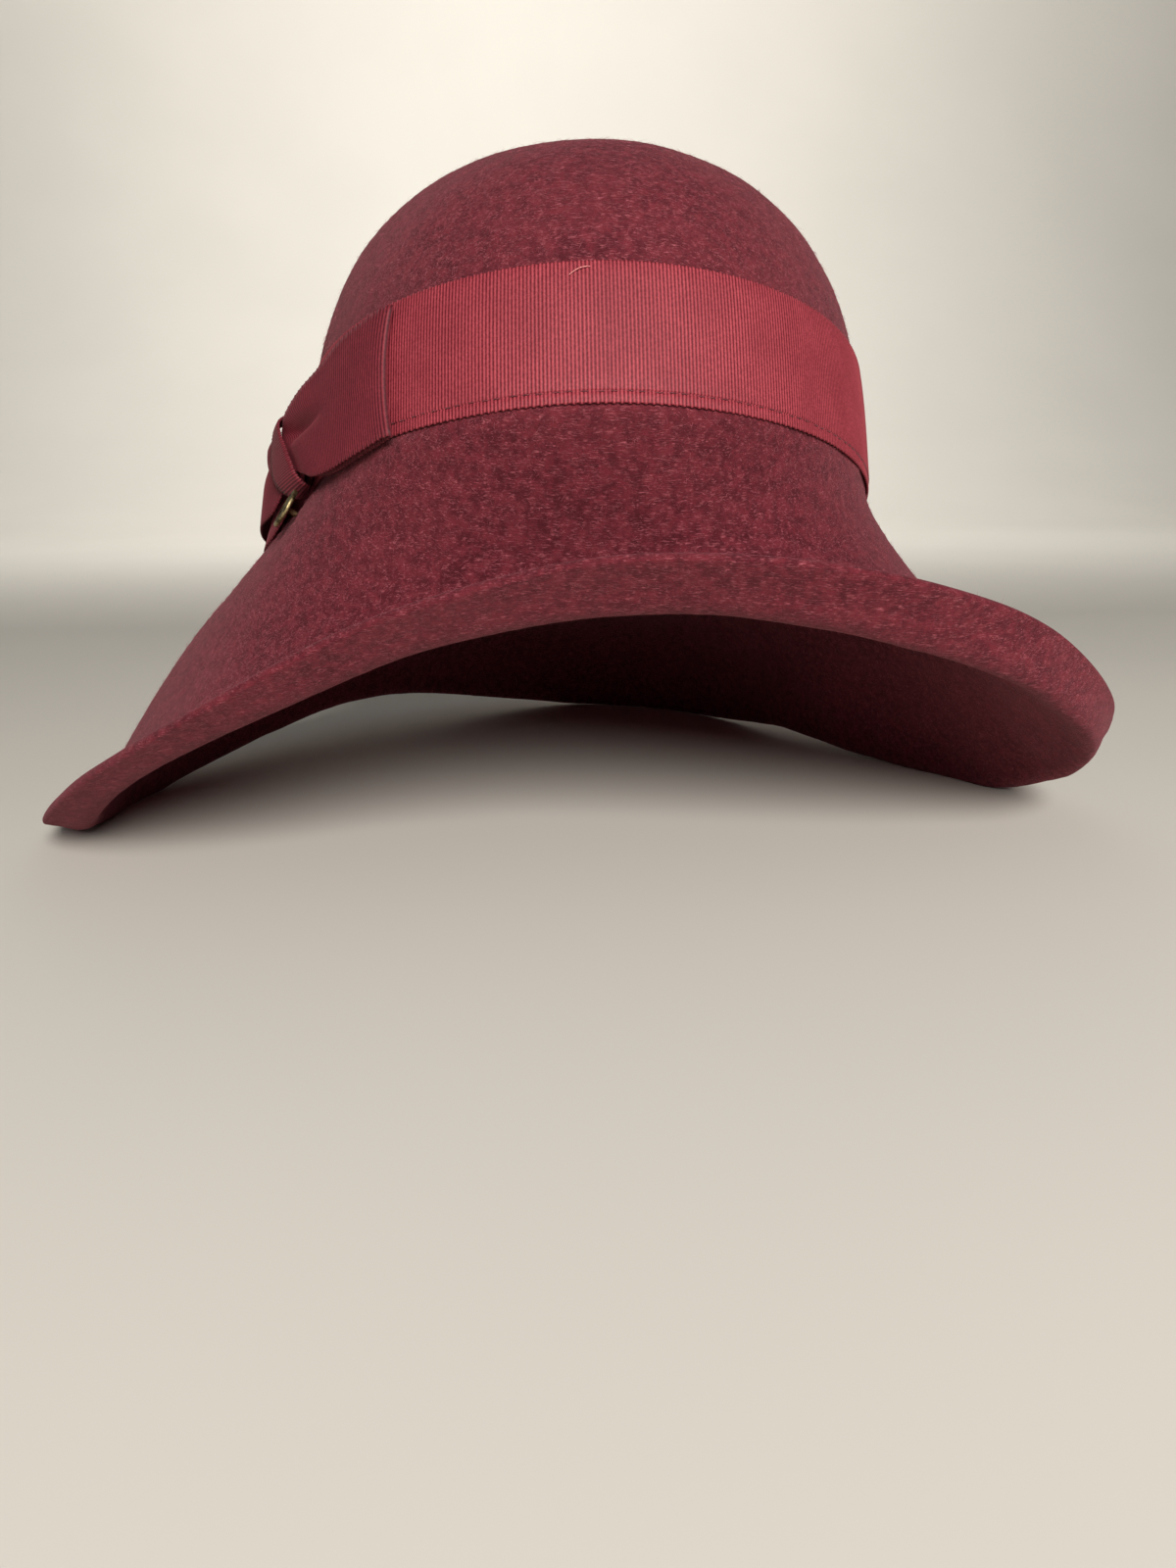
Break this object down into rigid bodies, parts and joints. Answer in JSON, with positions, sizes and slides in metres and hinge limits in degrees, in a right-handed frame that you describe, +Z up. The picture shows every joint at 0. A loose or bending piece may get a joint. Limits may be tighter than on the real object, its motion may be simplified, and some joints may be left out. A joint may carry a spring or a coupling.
{
  "type": "cloche hat",
  "caption": "Wool-felt cloche hat: round crown, wide drooping brim with a rolled rim, ribbon band with a flat side bow and a small plain metal badge.",
  "frame": {"origin": "on the surface that the hat rests on, under the middle of the hat's bounding box", "axes": "-Y is the front, -X the wearer's right, where the bow is, +Z up"},
  "size_m": [0.3251, 0.2923, 0.1919],
  "materials": {
    "felt": "marled wool felt, fuzzy",
    "ribbon": "ribbed grosgrain, slight sheen",
    "badge_metal": "aged brass"
  },
  "bodies": {
    "root": {"felt_body": "felt", "ribbon_band": "ribbon", "bow_front_loop": "ribbon", "bow_back_loop": "ribbon", "bow_knot": "ribbon", "metal_badge": "badge_metal"}
  },
  "joints": []
}
